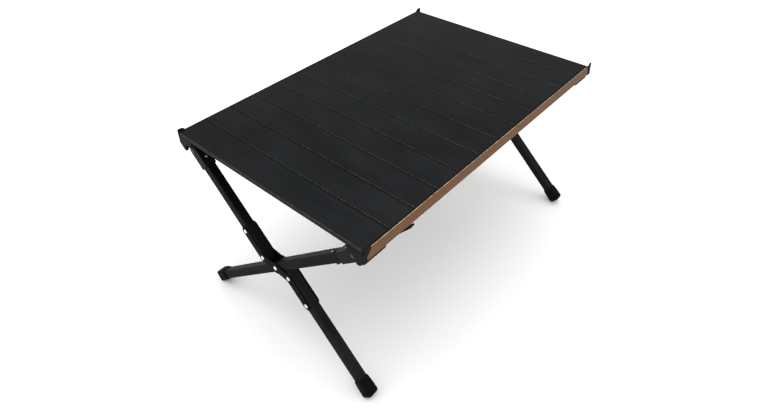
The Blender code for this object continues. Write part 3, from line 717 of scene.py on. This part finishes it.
class CAMPTABLE_OT_rivets(bpy.types.Operator):
    """Makes the rivets at the crossings, the fold pins, the sleeves' rivets and the domes on the stays' heads"""

    bl_idname = "camp_table.rivets"
    bl_label = "Rivets and pins"

    def execute(self, context):
        sizes, colours = context.scene.camp_table_sizes, context.scene.camp_table_colours
        bright = bright_metal("bright aluminium rivet", colours.rivet, 0.30)
        dark = bright_metal("blackened steel fold pin", colours.pin, 0.42)
        for node in sorted(frame["nodes"]):
            fold = node.startswith("fold_pin")
            if not fold and "rivet" not in node:
                continue
            middle, half = node_box(node)
            dome = PIN_DOME if fold else sizes.rivet_dome
            mesh = headed_pin(node + "_turned", middle, (0, 1, 0), SHANK, half[0], half[1] - dome,
                              dome * HEAD_SHARE)
            add_piece(mesh.name, mesh, BODY_OF[node], dark if fold else bright,
                      [node])
        for end_name, end in ENDS.items():
            for side_name, side in SIDES.items():
                origin, columns = leg_axes(side, end)
                centre = origin + SLEEVE_RIVET_AT * columns[0]
                mesh = headed_pin(f"sleeve_rivet_{end_name}_{side_name}", centre, columns[2], SLEEVE_SHANK,
                                  sizes.sleeve_rivet, SLEEVE_HALF, SLEEVE_DOME)
                add_piece(mesh.name, mesh, BODY_OF[f"leg_sleeve_{end_name}_{side_name}"], bright)
        for end_name, side_name in (("front", "right"), ("rear", "left")):
            # The stay's own pin ends in a flat black head on the leg's upper face, and a bright dome covers it
            origin, columns = leg_axes(SIDES[side_name], ENDS[end_name])
            node = f"stay_{end_name}_{side_name}"
            head = STAY_HEAD + HEAD_COVER
            across, high = head_profile(head, sizes.rivet_dome, HEAD_BASE)
            radii = np.concatenate([across, [head]])
            mesh = turned(node + "_head", radii, np.concatenate([high, [0.0]]),
                          origin + STAY_AT * columns[0] - (TUBE / 2 + FIT / 2) * columns[2], -columns[2])
            add_piece(mesh.name, mesh, BODY_OF[node], bright)
        return {"FINISHED"}


class CAMPTABLE_OT_feet(bpy.types.Operator):
    """Makes the four rubber boots: a collar, a ring groove near the sole and a flat that stands on the ground.

    A boot is a rounded square carried along its leg, turned in by a quarter circle at the sole, and no point of
    it lies under the ground.
    """

    bl_idname = "camp_table.feet"
    bl_label = "Feet"

    def execute(self, context):
        sizes = context.scene.camp_table_sizes
        finish = moulded_rubber("moulded black rubber boot", context.scene.camp_table_colours.foot, 0.72)
        bore = TUBE / 2 + FIT
        for end_name, end in ENDS.items():
            for side_name, side in (("left", 1), ("right", -1)):
                # The boot belongs to the leg that hangs from the other side
                origin, columns = leg_axes(side, end)
                tip = leg_length(side)
                offset = 0.0 if side > 0 else -2 * CRANK
                steps = np.linspace(0, 1, 40)
                rim = tip - FOOT_LENGTH + FOOT_COLLAR
                along = np.linspace(rim + FOOT_LIP, tip - FOOT_SOLE, len(steps))
                # The half width: less at the rim, by the square of the distance from the sole, and a groove as a
                # bell curve near the sole
                swell = FOOT_HALF - FOOT_TAPER * (1 - steps) ** 2
                swell -= sizes.foot_groove * np.exp(-((steps - FOOT_GROOVE_AT) / FOOT_GROOVE_WIDTH) ** 2)
                walls = list(zip(along, swell, np.full(len(steps), FOOT_CORNER)))
                turn = np.linspace(0, np.pi / 2, 8)[1:]
                sole = [(along[-1] + FOOT_SOLE * math.sin(t), swell[-1] - FOOT_SOLE * (1 - math.cos(t)),
                         FOOT_CORNER - (FOOT_CORNER - FOOT_SOLE_CORNER) * (1 - math.cos(t))) for t in turn]
                mouth = [(tip - FOOT_FLOOR, bore, FOOT_BORE_CORNER), (rim, bore, FOOT_BORE_CORNER),
                         (rim, swell[0] - FOOT_RIM_INSET, FOOT_CORNER - FOOT_RIM_EASE)]
                rows = mouth + walls + sole
                loops = [section(size, size, radius)[0] for _, size, radius in rows]
                grid = carried(loops, [row[0] for row in rows]) + np.array([0.0, 0.0, offset])
                grid = placed(grid, origin, columns)
                grid[..., 2] = np.maximum(grid[..., 2], 0.0)
                node = f"foot_{end_name}_{side_name}"
                mesh = skin(node + "_boot", grid)
                add_piece(mesh.name, mesh, BODY_OF[node], finish, [node])
        return {"FINISHED"}


class CAMPTABLE_OT_fittings(bpy.types.Operator):
    """Finishes the corner fittings, the hinge blocks and the leg sleeves"""

    bl_idname = "camp_table.fittings"
    bl_label = "Corners, hinges and sleeves"

    def execute(self, context):
        colours = context.scene.camp_table_colours
        corner = moulded_nylon("moulded black nylon corner", colours.fitting, 0.52)
        hinge = moulded_nylon("moulded black nylon hinge", colours.hinge, 0.48)
        for node in frame["nodes"]:
            if node.startswith("corner"):
                dress(node, corner)
            if node.startswith(("hinge_block", "leg_sleeve")):
                dress(node, hinge)
        return {"FINISHED"}


class CAMPTABLE_OT_plates(bpy.types.Operator):
    """Finishes the crossing plates and the stays"""

    bl_idname = "camp_table.plates"
    bl_label = "Plates and stays"

    def execute(self, context):
        colours = context.scene.camp_table_colours
        plate = powder_coat("black powder-coated plate", colours.plate, 0.55)
        # The stays take the plates' colour at half: a painted shade for where they hang in shade under the table
        # top
        stay = powder_coat("black powder-coated stay", shade(colours.plate, 0.5), 0.65)
        for node in frame["nodes"]:
            if node.startswith("crossing_plate"):
                dress(node, plate)
            if node.startswith("stay"):
                dress(node, stay)
        return {"FINISHED"}


class CAMPTABLE_OT_stage(bpy.types.Operator):
    """Makes the floor, the lights and the camera"""

    bl_idname = "camp_table.stage"
    bl_label = "Studio"

    def execute(self, context):
        scene, studio = context.scene, context.scene.camp_table_studio
        mesh = bpy.data.meshes.new("floor")
        corners = ((-1, -1), (1, -1), (1, 1), (-1, 1))
        mesh.from_pydata([(x * FLOOR_REACH, y * FLOOR_REACH, FLOOR_LEVEL) for x, y in corners], [], [(0, 1, 2, 3)])
        mesh.materials.append(seamless_paper("pale studio paper", studio.floor))
        floor = bpy.data.objects.new("floor", mesh)
        scene.collection.objects.link(floor)

        world = bpy.data.worlds.new("studio")
        scene.world = world
        world.use_nodes = True
        world.node_tree.nodes["Background"].inputs["Color"].default_value = (1.0, 1.0, 1.0, 1.0)
        world.node_tree.nodes["Background"].inputs["Strength"].default_value = studio.ambient

        lamps = (("overhead", OVERHEAD_AT, OVERHEAD_SIZE, studio.overhead),
                 ("front", FRONT_AT, FRONT_SIZE, studio.front))
        for name, place, size, power in lamps:
            lamp = bpy.data.lights.new(name, "AREA")
            lamp.shape, lamp.size, lamp.energy = "DISK", size, power
            holder = bpy.data.objects.new(name, lamp)
            holder.location = place
            holder.rotation_mode = "QUATERNION"
            holder.rotation_quaternion = (Vector(LAMP_TARGET) - Vector(place)).to_track_quat("-Z", "Y")
            scene.collection.objects.link(holder)

        lens = bpy.data.cameras.new("photo view")
        lens.lens, lens.sensor_width, lens.sensor_fit = LENS, SENSOR, "HORIZONTAL"
        lens.shift_x, lens.shift_y = SHIFT
        lens.clip_start, lens.clip_end = 0.02, 100.0
        camera = bpy.data.objects.new("photo view", lens)
        right, up = Vector(CAMERA_RIGHT), Vector(CAMERA_UP)
        turn = Matrix((right, up, right.cross(up))).transposed()
        camera.matrix_world = Matrix.Translation(CAMERA_AT) @ turn.to_4x4()
        scene.collection.objects.link(camera)
        scene.camera = camera
        scene.view_settings.view_transform = "Standard"
        return {"FINISHED"}


OPERATORS = (CAMPTABLE_OT_slats, CAMPTABLE_OT_slat_plugs, CAMPTABLE_OT_rails, CAMPTABLE_OT_leg_tubes,
             CAMPTABLE_OT_rivets, CAMPTABLE_OT_feet, CAMPTABLE_OT_fittings, CAMPTABLE_OT_plates,
             CAMPTABLE_OT_stage)
GROUPS = {"camp_table_sizes": CampTableSizes, "camp_table_colours": CampTableColours,
          "camp_table_studio": CampTableStudio}


class CAMPTABLE_PT_sidebar(bpy.types.Panel):
    """Lists the table's pieces and settings"""

    bl_idname = "CAMPTABLE_PT_sidebar"
    bl_label = "Camp table"
    bl_space_type = "VIEW_3D"
    bl_region_type = "UI"
    bl_category = "Camp table"

    def draw(self, context):
        for operator in OPERATORS:
            self.layout.operator(operator.bl_idname)
        for group in GROUPS:
            box = self.layout.box()
            settings = getattr(context.scene, group)
            for key in settings.bl_rna.properties.keys():
                if key not in ("rna_type", "name"):
                    box.prop(settings, key)


def register():
    """Registers the settings, the operators and the panel"""
    for name, group in GROUPS.items():
        bpy.utils.register_class(group)
        setattr(bpy.types.Scene, name, bpy.props.PointerProperty(type=group))
    for operator in OPERATORS:
        bpy.utils.register_class(operator)
    bpy.utils.register_class(CAMPTABLE_PT_sidebar)


def unregister():
    """Takes the panel, the operators and the settings away again"""
    bpy.utils.unregister_class(CAMPTABLE_PT_sidebar)
    for operator in reversed(OPERATORS):
        bpy.utils.unregister_class(operator)
    for name, group in reversed(GROUPS.items()):
        delattr(bpy.types.Scene, name)
        bpy.utils.unregister_class(group)


def main():
    """Makes every piece in order"""
    register()
    bpy.ops.camp_table.slats()
    bpy.ops.camp_table.slat_plugs()
    bpy.ops.camp_table.rails()
    bpy.ops.camp_table.leg_tubes()
    bpy.ops.camp_table.rivets()
    bpy.ops.camp_table.feet()
    bpy.ops.camp_table.fittings()
    bpy.ops.camp_table.plates()
    bpy.ops.camp_table.stage()


if __name__ == "__main__":
    main()
